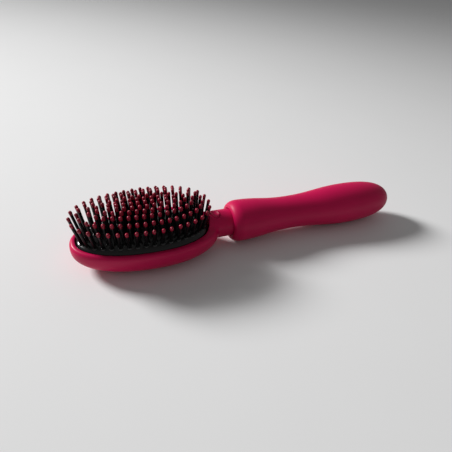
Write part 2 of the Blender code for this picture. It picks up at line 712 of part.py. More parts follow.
def make_core(finishes, handle):
    """Two half shells, held together by two screws beside the motor."""
    length = HANDLE_LENGTH
    width = 2 * (BULB_RADIUS + OVERRUN)
    head_z = AXIS_Z + SCREW_HEAD_SEAT
    holes = []
    for side, name in ((1, "left"), (-1, "right")):
        at = (SCREW_X, side * SCREW_OFFSET, head_z)
        shank = SCREW_LENGTH
        turned(f"core_screw_{name}",
               [(-shank, 0), (-shank, SCREW_RADIUS), (0, SCREW_RADIUS),
                (0, SCREW_HEAD_RADIUS), (SCREW_HEAD_HEIGHT, SCREW_HEAD_RADIUS),
                (SCREW_HEAD_HEIGHT, 0)],
               at, finishes["steel"], handle, axis="Z", sides=SMALL_SIDES // 2)
        holes.append(turned(
            f"screw_hole_{name}",
            [(-shank - SEAT, 0), (-shank - SEAT, SCREW_RADIUS + SEAT),
             (-SEAT, SCREW_RADIUS + SEAT), (-SEAT, SCREW_HEAD_RADIUS + SEAT),
             (BULB_RADIUS, SCREW_HEAD_RADIUS + SEAT), (BULB_RADIUS, 0)],
            at, None, handle, axis="Z", sides=SMALL_SIDES // 2))
    for name, low_z in (("core_upper", AXIS_Z + SEAT / 2),
                        ("core_lower", AXIS_Z - SEAT / 2 - width)):
        half = turned(name, core_profile(), (MOUTH_X, 0, AXIS_Z), finishes["grey_plastic"],
                      handle, sides=CORE_SIDES)
        keep = block(f"{name}_half", (length, width, width),
                     (MOUTH_X + length / 2, 0, low_z), None, handle)
        combine(half, keep, "INTERSECT")
        cut(half, *holes)


def make_mouth(finishes, handle):
    """The ring that the spigot slides in, and the contacts behind it."""
    turned("mouth_ring",
           tube_profile(MOUTH_RING_LENGTH, MOUTH_RING_BORE + MOUTH_RING_WALL, MOUTH_RING_BORE),
           (CORE_FRONT_X, 0, AXIS_Z), finishes["black_plastic"], handle,
           sides=CORE_SIDES, ring=True)
    turned("contact_board", rod_profile(BOARD_THICKNESS, BOARD_BAY_RADIUS - SEAT),
           (CONTACT_BOARD_X, 0, AXIS_Z), finishes["board_green"], handle, sides=CORE_SIDES)
    turned("charge_socket",
           [(SOCKET_LENGTH, 0), (SOCKET_LENGTH, SOCKET_RADIUS), (0, SOCKET_RADIUS),
            (0, SOCKET_BORE), (SOCKET_DEPTH, SOCKET_BORE), (SOCKET_DEPTH, 0)],
           (CONTACT_BOARD_X - SEAT - SOCKET_LENGTH, 0, AXIS_Z), finishes["steel"], handle)


def make_electronics(finishes, handle):
    half_board = math.sqrt(BOARD_BAY_RADIUS ** 2 - BOARD_THICKNESS ** 2) - SEAT
    middle = CONTROL_BOARD_X + CONTROL_BOARD_LENGTH / 2
    board = block("control_board",
                  (CONTROL_BOARD_LENGTH, 2 * half_board, BOARD_THICKNESS),
                  (middle, 0, AXIS_Z - BOARD_THICKNESS / 2), finishes["board_green"], handle)
    chip = block("chip_form", (CHIP_LENGTH, CHIP_WIDTH, CHIP_HEIGHT + SEAT),
                 (middle - CHIP_LENGTH / 2, 0, AXIS_Z), None, handle)
    coil = turned("coil_form", rod_profile(COIL_HEIGHT, COIL_RADIUS),
                  (middle + CHIP_LENGTH / 2 + COIL_RADIUS / 2, 0, AXIS_Z), None, handle,
                  axis="Z", sides=SMALL_SIDES // 2)
    fuse(board, chip, coil)
    turned("battery_pad", rod_profile(PAD_THICKNESS, BATTERY_RADIUS),
           (BATTERY_X - SEAT - PAD_THICKNESS, 0, AXIS_Z), finishes["foam_grey"], handle)
    body = BATTERY_END_X - BATTERY_CAP_HEIGHT - BATTERY_X
    chamfer = BATTERY_CHAMFER
    turned("battery_cell",
           [(0, 0), (0, BATTERY_RADIUS - chamfer), (chamfer, BATTERY_RADIUS),
            (body - chamfer, BATTERY_RADIUS), (body, BATTERY_RADIUS - chamfer),
            (body, BATTERY_CAP_RADIUS), (body + BATTERY_CAP_HEIGHT, BATTERY_CAP_RADIUS),
            (body + BATTERY_CAP_HEIGHT, 0)],
           (BATTERY_X, 0, AXIS_Z), finishes["cell_blue"], handle, sides=CORE_SIDES)


def make_motor(finishes, handle, rotor):
    """A small motor in a rubber boot, with a half-round weight on its shaft."""
    inside = MOTOR_RADIUS + SEAT
    turned("motor_boot",
           [(0, 0), (0, BOOT_RADIUS), (BOOT_FLOOR + SEAT + MOTOR_LENGTH, BOOT_RADIUS),
            (BOOT_FLOOR + SEAT + MOTOR_LENGTH, inside), (BOOT_FLOOR, inside), (BOOT_FLOOR, 0)],
           (BOOT_X, 0, AXIS_Z), finishes["black_rubber"], handle, sides=CORE_SIDES)
    boss_end = MOTOR_LENGTH + MOTOR_BOSS_LENGTH
    bore = SHAFT_RADIUS + SEAT
    turned("motor_can",
           [(0, 0), (0, MOTOR_RADIUS), (MOTOR_LENGTH, MOTOR_RADIUS),
            (MOTOR_LENGTH, MOTOR_BOSS_RADIUS), (boss_end, MOTOR_BOSS_RADIUS),
            (boss_end, bore), (MOTOR_LENGTH - MOTOR_BORE_DEPTH, bore),
            (MOTOR_LENGTH - MOTOR_BORE_DEPTH, 0)],
           (MOTOR_X, 0, AXIS_Z), finishes["steel"], handle)
    turned("motor_shaft", rod_profile(SHAFT_LENGTH, SHAFT_RADIUS),
           (SHAFT_X, 0, AXIS_Z), finishes["steel"], rotor)
    weight = turned("eccentric_weight", rod_profile(WEIGHT_LENGTH, WEIGHT_RADIUS),
                    (WEIGHT_X, 0, AXIS_Z), finishes["brass"], rotor, sides=CORE_SIDES)
    away = block("weight_top_cutter",
                 (WEIGHT_LENGTH + 2 * OVERRUN, 2 * (WEIGHT_RADIUS + OVERRUN),
                  WEIGHT_RADIUS + OVERRUN),
                 (WEIGHT_X + WEIGHT_LENGTH / 2, 0, AXIS_Z + WEIGHT_TOP), None, rotor)
    hub = turned("weight_hub_form",
                 rod_profile(WEIGHT_LENGTH + 2 * WEIGHT_HUB_STEP, WEIGHT_HUB_RADIUS),
                 (WEIGHT_X - WEIGHT_HUB_STEP, 0, AXIS_Z), None, rotor)
    hole = turned("weight_hole_cutter",
                  rod_profile(WEIGHT_LENGTH + 2 * OVERRUN, SHAFT_RADIUS + SEAT),
                  (WEIGHT_X - OVERRUN, 0, AXIS_Z), None, rotor)
    cut(weight, away)
    fuse(weight, hub)
    cut(weight, hole)


def main():
    for old in list(bpy.data.objects):
        bpy.data.objects.remove(old)
    finishes = materials()
    handle = group("handle_axis", MOUTH_X, 0, AXIS_Z)
    head = group("head_axis", NECK_END_X, 0, AXIS_Z)
    button = group("button_axis", BUTTON_X, 0, AXIS_Z)
    rotor = group("rotor_axis", SHAFT_X, 0, AXIS_Z)
    make_head_shell(finishes["soft_pink"], head)
    make_base_plate(finishes["black_plastic"], head)
    make_cushion_edge(finishes["black_rubber"], head)
    make_bristles(finishes, head)
    make_switch(finishes, head, button)
    make_spigot(finishes, head)
    make_sleeve(finishes["soft_pink"], handle)
    make_core(finishes, handle)
    make_mouth(finishes, handle)
    make_electronics(finishes, handle)
    make_motor(finishes, handle, rotor)


main()
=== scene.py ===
"""Looks of the vibrating styling brush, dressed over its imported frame.

The head lies on its back towards -X, the handle runs to +X, and the bristles
stand up along +Z. Each operator models one piece or one group of like pieces.
"""

import math
import random

import bmesh
import bpy
from bpy.props import (
    FloatProperty, FloatVectorProperty, IntVectorProperty, PointerProperty)
from bpy.types import Operator, Panel, PropertyGroup
from mathutils import Matrix, Vector
from mathutils.geometry import interpolate_bezier


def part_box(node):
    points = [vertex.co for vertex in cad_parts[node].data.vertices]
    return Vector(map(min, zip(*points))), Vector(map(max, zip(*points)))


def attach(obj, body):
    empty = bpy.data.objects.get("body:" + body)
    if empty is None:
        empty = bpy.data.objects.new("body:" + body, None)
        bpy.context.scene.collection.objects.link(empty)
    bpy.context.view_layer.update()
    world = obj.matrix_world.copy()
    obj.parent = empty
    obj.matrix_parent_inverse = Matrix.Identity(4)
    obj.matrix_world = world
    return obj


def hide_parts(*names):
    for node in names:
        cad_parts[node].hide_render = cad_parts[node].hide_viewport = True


bl_info = {
    "name": "Styling Brush",
    "version": (1, 0, 0),
    "blender": (4, 5, 0),
    "location": "3D View > Sidebar > Brush",
    "description": "Models a cushion brush with a vibrating handle over its frame",
    "category": "Add Mesh",
}

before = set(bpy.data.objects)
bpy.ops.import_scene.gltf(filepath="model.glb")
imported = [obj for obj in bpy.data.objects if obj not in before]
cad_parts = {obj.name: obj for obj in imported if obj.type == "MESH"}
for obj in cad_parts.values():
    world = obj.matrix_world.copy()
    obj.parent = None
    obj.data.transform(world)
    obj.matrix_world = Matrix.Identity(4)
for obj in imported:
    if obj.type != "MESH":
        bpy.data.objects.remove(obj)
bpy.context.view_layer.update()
SHELL_LOW, SHELL_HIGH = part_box("head_shell")
SLEEVE_LOW, SLEEVE_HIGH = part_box("handle_sleeve")
BUTTON_LOW, BUTTON_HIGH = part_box("power_button")
AXIS_Z = (SLEEVE_LOW.z + SLEEVE_HIGH.z) / 2
BUTTON_X = (BUTTON_LOW.x + BUTTON_HIGH.x) / 2
FLANGE_RADIUS = (BUTTON_HIGH.x - BUTTON_LOW.x) / 2
MM = 0.001
# The outer five rings go round the cushion, and the sixth is the centre row.
RINGS = 6
CENTRE_ROW = RINGS - 1
# How far a cutting tool goes past what it cuts.
OVERCUT = 2 * MM
# The Mix node's sockets for colours: its factor, both colours and its result.
MIX_FACTOR, MIX_FIRST, MIX_SECOND, MIX_RESULT = 0, 6, 7, 2


def number(name, description, default, **more):
    return FloatProperty(name=name, description=description, default=default, **more)


def length(name, description, millimetres):
    """A size that the panel shows in the scene's unit of length."""
    return number(name, description, millimetres * MM, unit="LENGTH",
                  subtype="DISTANCE", precision=5)


def turning(name, description, degrees):
    return number(name, description, math.radians(degrees), subtype="ANGLE")


def share(name, description, default):
    return number(name, description, default, subtype="FACTOR", soft_min=0, soft_max=1)


def numbers(name, description, default, **more):
    """A row of numbers, such as one for each ring of pins."""
    return FloatVectorProperty(name=name, description=description, default=default,
                               size=len(default), **more)


def colour(name, description, default):
    return numbers(name, description, default, subtype="COLOR", min=0, max=1)


def place(name, description, default):
    return numbers(name, description, default, subtype="TRANSLATION", unit="LENGTH")


def ring_lengths(name, description, *millimetres):
    """A size for each ring of pins, from the outer ring inwards."""
    return numbers(name, description, [size * MM for size in millimetres],
                   unit="LENGTH", precision=5)


class BrushHeadSizes(PropertyGroup):
    """The oval bowl and its neck."""

    head_length: length("Head length", "Oval from the tip to the neck", 97.5)
    head_width: length("Head width", "Oval across its widest place", 50.57)
    rim_z: length("Rim height", "Rim above the surface that the brush lies on", 18.8)
    wall: length("Wall", "Thickness of the bowl's back", 2.2)
    back_flat: length("Back flat", "Height taken off the bulge of the back", 0.5)
    rim_width: length("Rim width", "Rim beside the cushion", 3.7)
    neck_rim_extra: length("Rim at the neck", "How much wider the rim is there", 3.6)
    round_width: length("Lip round width", "Rounding of the outer lip, inwards", 2.3)
    round_height: length("Lip round height", "Rounding of the outer lip, down", 3.2)
    recess_depth: length("Well depth", "Rim down to the ledge under the cushion", 4.8)
    ledge_width: length("Ledge width", "Ledge that the base plate rests on", 2.4)
    oval_power: number("Oval power", "2 is an ellipse, more is squarer", 2.2)
    bowl_power: number("Bowl power", "Fullness of the bowl from the side", 2.7)
    taper: share("Taper", "How much wider the oval is towards the neck", 0.07)
    neck_radius: length("Neck radius", "Round neck", 9.5)
    neck_wall: length("Neck wall", "Thickness of the neck", 2.4)
    flare_length: length("Flare length", "Where the neck widens into the bowl", 24)
    flare_width: length("Flare width", "How much it widens", 6)
    button_land: length("Button land", "Wall between the well and the switch bore", 0.8)
    button_flange: length("Button flange", "Edge that keeps the button in", 0.5)
    button_stretch: number("Button stretch", "Its width against its length", 1.28)
    seat: length("Seat", "Gap between two pieces that touch", 0.3)


class BrushHandleSizes(PropertyGroup):
    """The turned outline of the soft sleeve, from its mouth to its round end."""

    mouth_edge: length("Mouth edge", "Flat ring round the mouth", 0.7)
    collar_radius: length("Collar radius", "Crest of the collar", 14.5)
    collar_at: length("Collar place", "Crest behind the mouth", 6.6)
    waist_radius: length("Waist radius", "Slimmest place", 11.8)
    waist_at: length("Waist place", "Waist behind the mouth", 45.5)
    bulb_radius: length("Bulb radius", "Fullest place", 15)
    bulb_at: length("Bulb place", "Bulb behind the mouth", 96)
    shoulder: numbers("Shoulder", "Pull of the collar's curve", (0.62, 0.55))
    nose: numbers("Round end", "Pull of the end's curve", (0.60, 0.74))
    wall: length("Sleeve wall", "Thickness of the sleeve", 2)
    mouth_wall: length("Mouth wall", "Thickness of the sleeve's front", 3.6)


class BrushCushionSizes(PropertyGroup):
    """The domed rubber that the pins stand in."""

    groove: length("Groove", "Open line round the cushion", 0.5)
    edge_drop: length("Edge drop", "Cushion's edge below the rim", 0.35)
    foot_z: length("Foot", "Underside of the cushion's edge", 16.7)
    dome_height: length("Dome height", "Ridge above the edge", 7.0)
    dome_power: number("Dome power", "How flat the dome is on top", 2.35)
    ridge: share("Ridge", "Length of the ridge against the whole", 0.4)


class BrushPinSizes(PropertyGroup):
    """Five rings and a centre row of pins with teardrop tips."""

    counts: IntVectorProperty(name="Counts", size=RINGS,
                              description="Pins from the outer ring inwards",
                              default=(38, 37, 31, 26, 20, 8))
    levels: numbers("Levels", "Height share of each ring",
                    (0.09, 0.235, 0.445, 0.6, 0.815, 1.0))
    starts: numbers("Starts", "Where each ring's first pin is",
                    (0.825, 0.318, 0.929, 0.471, 0.486))
    row_share: share("Centre row", "Length of the centre row against the ridge", 0.9)
    tip_heights: ring_lengths("Tip heights", "Middle of each ring's tips above the rim",
                              17.15, 19.57, 21.46, 22.26, 22.69, 22.95)
    reach_along: ring_lengths("Reach along", "Tips outside the contour, along",
                              3.5, 2.4, 1.2, 0.5, 0, 0)
    reach_across: ring_lengths("Reach across", "Tips outside the contour, across",
                               4.2, 1.7, 1.0, -0.4, 0.3, 0)
    feet_in: numbers("Feet inwards", "How much nearer the middle line the feet are",
                     (0.11, 0.066, 0.033, 0, 0, 0))
    rake: length("Rake", "How far all the tips lean towards the head's end", 1.4)
    scatter: length("Scatter", "Chance shift of each tip", 0.2)
    pin_length: length("Pin length", "Rubber to the middle of the tip", 16.0)
    foot_radius: length("Foot radius", "Pin where it leaves the rubber", 1.10)
    neck_radius: length("Top radius", "Pin under its tip", 0.99)
    tip_radius: length("Tip radius", "Fullest place of the tip", 1.15)
    root: length("Root", "Pin inside the rubber", 1.2)


class BrushFinishColours(PropertyGroup):
    """Colours of the finishes, in linear values."""

    magenta: colour("Magenta", "Soft-touch shell and sleeve", (0.52, 0.0025, 0.070))
    crimson: colour("Crimson", "Coating of the pin tips", (0.29, 0.003, 0.026))
    rubber: colour("Rubber", "Cushion", (0.002, 0.002, 0.0025))
    nylon: colour("Nylon", "Pins", (0.003, 0.003, 0.0035))


class BrushStageSettings(PropertyGroup):
    """Camera, floor and light."""

    camera_place: place("Camera", "Place of the camera", (-0.12324, -0.22713, 0.20095))
    camera_turn: turning("Turn", "Turn away from the brush's side", 25.35)
    camera_drop: turning("Drop", "How far down the camera looks", 37.0)
    camera_roll: turning("Roll", "Turn about the line of sight", 6.26)
    lens: number("Lens", "Focal length in millimetres", 35.834)
    floor_tone: share("Floor", "Grey of the floor", 0.80)
    key_place: place("Key place", "Place of the key lamp", (-1.65, 1.6, 1.28))
    key_size: length("Key size", "Width of the round key lamp", 800)
    key_power: number("Key lamp", "Power in watts", 6.1)
    key_spread: turning("Key spread", "Angle that the lamp lights", 42)
    sky: share("Sky", "Strength of the even light from all round", 0.20)


class Wire:
    """A node's output that adds, subtracts and multiplies as a number does."""

    def __init__(self, finish, socket):
        self.finish = finish
        self.socket = socket

    def __add__(self, other):
        return self.finish.sum("ADD", self, other)

    def __radd__(self, other):
        return self.finish.sum("ADD", other, self)

    def __sub__(self, other):
        return self.finish.sum("SUBTRACT", self, other)

    def __rsub__(self, other):
        return self.finish.sum("SUBTRACT", other, self)

    def __mul__(self, other):
        return self.finish.sum("MULTIPLY", self, other)

    def __rmul__(self, other):
        return self.finish.sum("MULTIPLY", other, self)


class Finish:
    """A material, built up node by node on the piece's own coordinates."""

    def __init__(self, name, **fixed):
        self.material = bpy.data.materials.new(name)
        self.material.use_nodes = True
        self.tree = self.material.node_tree
        self.surface = self.tree.nodes["Principled BSDF"]
        for label, value in fixed.items():
            self.surface.inputs[label.replace("_", " ")].default_value = value
        self.place = self.add("ShaderNodeTexCoord", output="Object")

    def add(self, kind, settings=None, sockets=None, output=0):
        """Add a node: its settings first, then the values or wires of its sockets."""
        node = self.tree.nodes.new(kind)
        for label, value in (settings or {}).items():
            if label == "stops":
                self.set_stops(node.color_ramp.elements, value)
            else:
                setattr(node, label, value)
        for label, value in (sockets or {}).items():
            self.feed(node.inputs[label], value)
        return Wire(self, node.outputs[output])

    def set_stops(self, elements, stops):
        while len(elements) < len(stops):
            elements.new(0.5)
        for element, (position, value) in zip(elements, stops):
            element.position = position
            element.color = (value, value, value, 1)

    def feed(self, socket, value):
        if isinstance(value, Wire):
            self.tree.links.new(value.socket, socket)
        elif socket.type == "RGBA":
            socket.default_value = (*value, 1)
        else:
            socket.default_value = value

    def sum(self, operation, first, second):
        return self.add("ShaderNodeMath", {"operation": operation},
                        {0: first, 1: second})

    def stretched(self, scale):
        """The piece's coordinates, so that a pattern on them is drawn out."""
        return self.add("ShaderNodeMapping",
                        sockets={"Vector": self.place, "Scale": scale})

    def noise(self, grain, detail, place=None):
        """Soft noise with spots of about the given size."""
        return self.add("ShaderNodeTexNoise",
                        sockets={"Vector": place or self.place, "Scale": 1 / grain,
                                 "Detail": detail, "Roughness": 0.55})

    def cells(self, grain):
        """Distance from the middles of cells of about the given size."""
        return self.add("ShaderNodeTexVoronoi", output="Distance",
                        sockets={"Vector": self.place, "Scale": 1 / grain})

    def ramp(self, value, *stops):
        return self.add("ShaderNodeValToRGB", {"stops": stops}, {"Fac": value})

    def mix(self, amount, first, second):
        """A blend of two colours."""
        return self.add("ShaderNodeMix", {"data_type": "RGBA"},
                        {MIX_FACTOR: amount, MIX_FIRST: first, MIX_SECOND: second},
                        output=MIX_RESULT)

    def wear(self, body, roughness, relief, depth, strength, **more):
        """Feed the shader's changing sockets and hand back the material."""
        bump = self.add("ShaderNodeBump", sockets={
            "Height": relief, "Distance": depth, "Strength": strength})
        looks = {"Base Color": body, "Roughness": roughness, "Normal": bump, **more}
        for label, value in looks.items():
            self.feed(self.surface.inputs[label], value)
        return self.material


def shade(tint, amount):
    """A colour made lighter or darker by an amount."""
    return tuple(min(part * amount, 1) for part in tint)


def soft_touch(name, tint, roughness, grain):
    """Soft-touch magenta: a fine even grain, faint clouding, and a little dust."""
    finish = Finish(name, Specular_IOR_Level=0.20)
    cloud = finish.noise(24 * MM, 3)
    skin = finish.noise(grain, 3)
    pores = finish.cells(grain * 2.2)
    rubbed = finish.add("ShaderNodeAttribute", {"attribute_name": "rubbed"},
                        output="Fac")
    patch = rubbed * finish.ramp(finish.noise(3 * MM, 4), (0.42, 0.0), (0.62, 1.0))
    dust = finish.ramp(finish.cells(2.6 * MM), (0.0, 1.0), (0.045, 0.0))
    body = finish.mix(cloud, shade(tint, 0.90), shade(tint, 1.08))
    body = finish.mix(patch * 0.35, body, shade(tint, 1.25))
    body = finish.mix(dust * 0.28, body, (0.80, 0.45, 0.52))
    roughness = roughness + (cloud - 0.5) * 0.10 + (skin - 0.5) * 0.08 - patch * 0.10
    return finish.wear(body, roughness, skin * 0.6 + pores * 0.4, 0.03 * MM, 0.35)


def cushion_rubber(name, tint):
    """Glossy black rubber with a faint ripple and a few settled specks."""
    finish = Finish(name, Specular_IOR_Level=0.50)
    ripple = finish.noise(7 * MM, 2)
    skin = finish.noise(0.5 * MM, 3)
    specks = finish.ramp(finish.cells(1.7 * MM), (0.0, 1.0), (0.05, 0.0))
    body = finish.mix(ripple, shade(tint, 0.8), shade(tint, 1.4))
    body = finish.mix(specks * 0.3, body, (0.10, 0.10, 0.11))
    roughness = 0.25 + (ripple - 0.5) * 0.10 + specks * 0.3
    return finish.wear(body, roughness, ripple * 0.8 + skin * 0.2, 0.12 * MM, 0.3)


def pin_nylon(name, tint):
    """Black nylon, drawn along the pin, so its faint lines run upwards."""
    finish = Finish(name, Specular_IOR_Level=0.16)
    lines = finish.noise(0.35 * MM, 3, finish.stretched((1, 1, 0.08)))
    tone = finish.noise(4 * MM, 2)
    body = finish.mix(lines, shade(tint, 0.6), shade(tint, 1.8))
    roughness = 0.30 + (lines - 0.5) * 0.16 + (tone - 0.5) * 0.10
    return finish.wear(body, roughness, lines, 0.03 * MM, 0.3)


def tip_coating(name, tint):
    """The dipped crimson tips, each a little lighter or darker than the next."""
    finish = Finish(name, Specular_IOR_Level=0.42)
    batch = finish.ramp(finish.noise(5 * MM, 1), (0.3, 0.0), (0.7, 1.0))
    skin = finish.noise(0.6 * MM, 3)
    thin = finish.ramp(skin, (0.55, 0.0), (0.75, 0.5))
    body = finish.mix(batch, shade(tint, 0.72), shade(tint, 1.25))
    body = finish.mix(thin, body, shade(tint, 0.55))
    return finish.wear(body, 0.32 + (skin - 0.5) * 0.18, skin, 0.05 * MM, 0.35)


def moulded_plastic(name, tint, roughness):
    """Plain moulded plastic with a spark-eroded grain and faint flow marks."""
    finish = Finish(name, Specular_IOR_Level=0.45)
    grain = finish.noise(0.18 * MM, 3)
    flow = finish.noise(9 * MM, 3, finish.stretched((0.4, 1, 1)))
    scuffs = finish.ramp(finish.noise(1.6 * MM, 5), (0.60, 0.0), (0.72, 1.0))
    body = finish.mix(flow, shade(tint, 0.86), shade(tint, 1.12))
    roughness = roughness + (flow - 0.5) * 0.10 - scuffs * 0.08
    return finish.wear(body, roughness, grain, 0.03 * MM, 0.35)


def plated_metal(name, tint, roughness, lines_along):
    """Metal with turned or drawn lines and a few darker spots."""
    finish = Finish(name, Metallic=1.0)
    lines = finish.noise(0.22 * MM, 3, finish.stretched(lines_along))
    spots = finish.ramp(finish.noise(1.4 * MM, 4), (0.58, 0.0), (0.74, 1.0))
    body = finish.mix(lines, shade(tint, 0.82), shade(tint, 1.08))
    body = finish.mix(spots * 0.35, body, shade(tint, 0.5))
    roughness = roughness + (lines - 0.5) * 0.22 + spots * 0.18
    return finish.wear(body, roughness, lines, 0.02 * MM, 0.3)


def circuit_board(name):
    """Green solder mask over raised tracks, with tinned pads."""
    finish = Finish(name, Specular_IOR_Level=0.5)
    waves = finish.add("ShaderNodeTexWave", {"bands_direction": "Y"},
                       {"Vector": finish.place, "Scale": 180.0, "Distortion": 2.4,
                        "Detail": 0.0}, output="Fac")
    runs = finish.ramp(waves, (0.55, 0.0), (0.62, 1.0))
    pads = finish.ramp(finish.cells(2.1 * MM), (0.10, 1.0), (0.14, 0.0))
    grain = finish.noise(0.3 * MM, 3)
    body = finish.mix(runs, (0.004, 0.085, 0.028), (0.010, 0.16, 0.050))
    body = finish.mix(pads, body, (0.62, 0.62, 0.60))
    return finish.wear(body, 0.34 + (grain - 0.5) * 0.16, runs + pads, 0.05 * MM, 0.6,
                       Metallic=pads * 0.9)


def foam_pad(name):
    """Dark open foam with pale pores."""
    finish = Finish(name, Specular_IOR_Level=0.2)
    pores = finish.cells(0.6 * MM)
    fine = finish.noise(0.25 * MM, 3)
    body = finish.mix(pores, (0.020, 0.020, 0.022), (0.090, 0.090, 0.095))
    relief = pores * 0.7 + fine * 0.3
    return finish.wear(body, 0.92 + (fine - 0.5) * 0.1, relief, 0.25 * MM, 0.9)


def shrink_wrap(name):
    """Blue film drawn tight over the cell, with fine wrinkles round it."""
    finish = Finish(name, Specular_IOR_Level=0.6)
    wrinkles = finish.noise(1.1 * MM, 3, finish.stretched((3.0, 0.5, 0.5)))
    tone = finish.noise(12 * MM, 2)
    body = finish.mix(tone, (0.008, 0.075, 0.30), (0.014, 0.12, 0.42))
    return finish.wear(body, 0.24 + (wrinkles - 0.5) * 0.2, wrinkles, 0.08 * MM, 0.4)


def seal_rubber(name, tint):
    """Matt black rubber with a paler bloom in patches."""
    finish = Finish(name, Specular_IOR_Level=0.35)
    skin = finish.noise(0.4 * MM, 4)
    bloom = finish.ramp(finish.noise(5 * MM, 3), (0.45, 0.0), (0.70, 1.0))
    body = finish.mix(bloom, tint, shade(tint, 1.7))
    return finish.wear(body, 0.62 + (skin - 0.5) * 0.2, skin, 0.05 * MM, 0.5)


def floor_paper(name, tone):
    """Plain pale paper with the faintest mottle."""
    finish = Finish(name, Specular_IOR_Level=0.2)
    mottle = finish.noise(90 * MM, 3)
    fibre = finish.noise(1.5 * MM, 2)
    body = finish.mix(mottle, (tone * 0.985,) * 3, (tone * 1.01,) * 3)
    return finish.wear(body, 0.85 + (fibre - 0.5) * 0.1, fibre, 0.02 * MM, 0.2)


def finish_named(name):
    """The finish of that name, made the first time that a piece asks for it."""
    tints = bpy.context.scene.brush_colours
    recipes = {
        "soft_shell": (soft_touch, tints.magenta, 0.40, 0.28 * MM),
        "soft_sleeve": (soft_touch, tints.magenta, 0.46, 0.22 * MM),
        "gloss_cushion": (cushion_rubber, tints.rubber),
        "drawn_nylon": (pin_nylon, tints.nylon),
        "dipped_tip": (tip_coating, tints.crimson),
        "black_moulding": (moulded_plastic, (0.012, 0.012, 0.013), 0.5),
        "grey_moulding": (moulded_plastic, (0.30, 0.30, 0.32), 0.48),
        "printed_board": (circuit_board,),
        "turned_brass": (plated_metal, (0.78, 0.56, 0.22), 0.26, (0.1, 1, 1)),
        "bright_steel": (plated_metal, (0.62, 0.62, 0.64), 0.30, (1, 0.15, 0.15)),
        "matt_seal": (seal_rubber, (0.025, 0.025, 0.027)),
        "open_foam": (foam_pad,),
        "blue_film": (shrink_wrap,),
    }
    make, *values = recipes[name]
    return bpy.data.materials.get(name) or make(name, *values)


def leave_edit():
    """Back to object mode with nothing selected."""
    if bpy.context.mode != "OBJECT":
        bpy.ops.object.mode_set(mode="OBJECT")
    bpy.ops.object.select_all(action="DESELECT")


def pick_out(piece):
    """Select one piece alone and make it the active one."""
    leave_edit()
    piece.select_set(True)
    bpy.context.view_layer.objects.active = piece


def name_and_edit(name):
    """Name the new primitive, put its place in its mesh and select all of it."""
    piece = bpy.context.object
    piece.name = piece.data.name = name
    bpy.ops.object.transform_apply(location=True, rotation=True, scale=True)
    bpy.ops.object.mode_set(mode="EDIT")
    bpy.ops.mesh.select_all(action="SELECT")
    return piece


def new_ring(name, sides, at, turn=(0, 0, 0)):
    """A ring of edges of radius one at its place, in edit mode and selected."""
    leave_edit()
    bpy.ops.mesh.primitive_circle_add(
        vertices=sides, radius=1, location=at, rotation=turn)
    return name_and_edit(name)


def extrude(before, after):
    """Extrude what is selected by the step from one place to the next."""
    step = tuple(b - a for a, b in zip(before, after))
    bpy.ops.mesh.extrude_region_move(TRANSFORM_OT_translate={"value": step})


def grow(stations):
    """Extrude the selected ring from middle to middle and size to size."""
    for (middle, size), (next_middle, next_size) in zip(stations, stations[1:]):
        extrude(middle, next_middle)
        bpy.ops.transform.resize(value=tuple(b / a for a, b in zip(size, next_size)),
                                 center_override=next_middle)


def oval_point(head, angle, half_length, half_width):
    """A point on the egg-shaped oval that the whole head follows."""
    c, s = math.cos(angle), math.sin(angle)
    x = math.copysign(abs(c) ** (2 / head.oval_power), c)
    y = math.copysign(abs(s) ** (2 / head.oval_power), s) * (1 + head.taper * x)
    return x * half_length, y * half_width


def grow_ovals(name, head, stations, sides):
    """Extrude an oval ring through stations of (half length, half width, x, z)."""
    half_length, half_width, x, z = stations[0]
    piece = new_ring(name, sides, (x, 0, z))
    ring = bmesh.from_edit_mesh(piece.data)
    for point in ring.verts:
        angle = math.atan2(point.co.y, point.co.x - x)
        along, across = oval_point(head, angle, half_length, half_width)
        point.co = (x + along, across, z)
    bmesh.update_edit_mesh(piece.data)
    grow([((x, 0, z), (along, across, 1)) for along, across, x, z in stations])
    return piece


def close_up(piece, merge=0.005 * MM):
    """Merge doubles, close what is open, and turn every face outwards."""
    bpy.ops.mesh.select_all(action="SELECT")
    bpy.ops.mesh.remove_doubles(threshold=merge)
    bpy.ops.mesh.fill_holes(sides=0)
    bpy.ops.mesh.select_all(action="SELECT")
    bpy.ops.mesh.normals_make_consistent(inside=False)
    leave_edit()
    return piece


def grow_tube(name, stations, sides):
    """Extrude a ring along the brush through (x, half width, half height)."""
    x, half_width, half_height = stations[0]
    piece = new_ring(name, sides, (x, 0, AXIS_Z), (0, math.pi / 2, 0))
    bpy.ops.transform.resize(value=(1, half_width, half_height),
                             center_override=(x, 0, AXIS_Z))
    grow([((x, 0, AXIS_Z), (1, across, up)) for x, across, up in stations])
    return close_up(piece)


def draw_and_spin(name, points, sides, centre, axis):
    """Draw an outline by extruding one point along it, then spin it round an axis."""
    leave_edit()
    bpy.ops.mesh.primitive_plane_add(size=MM, location=points[0])
    piece = name_and_edit(name)
    bpy.ops.mesh.merge(type="CENTER")
    for before, after in zip(points, points[1:]):
        extrude(before, after)
    bpy.ops.mesh.select_all(action="SELECT")
    bpy.ops.mesh.spin(steps=sides, angle=math.tau, center=centre, axis=axis)
    return close_up(piece)


def turn_upright(name, outline, sides, x=0, z=0):
    """Turn an outline of (radius, height) round an upright axis."""
    points = [(x + radius, 0, height) for radius, height in outline]
    return draw_and_spin(name, points, sides, (x, 0, z), (0, 0, 1))


def rounded_edge(steps, turn=math.pi / 2):
    """Steps round an edge of radius one, as how far inwards and how far up."""
    angles = [turn * i / steps for i in range(steps + 1)]
    return [(1 - math.cos(angle), math.sin(angle)) for angle in angles]


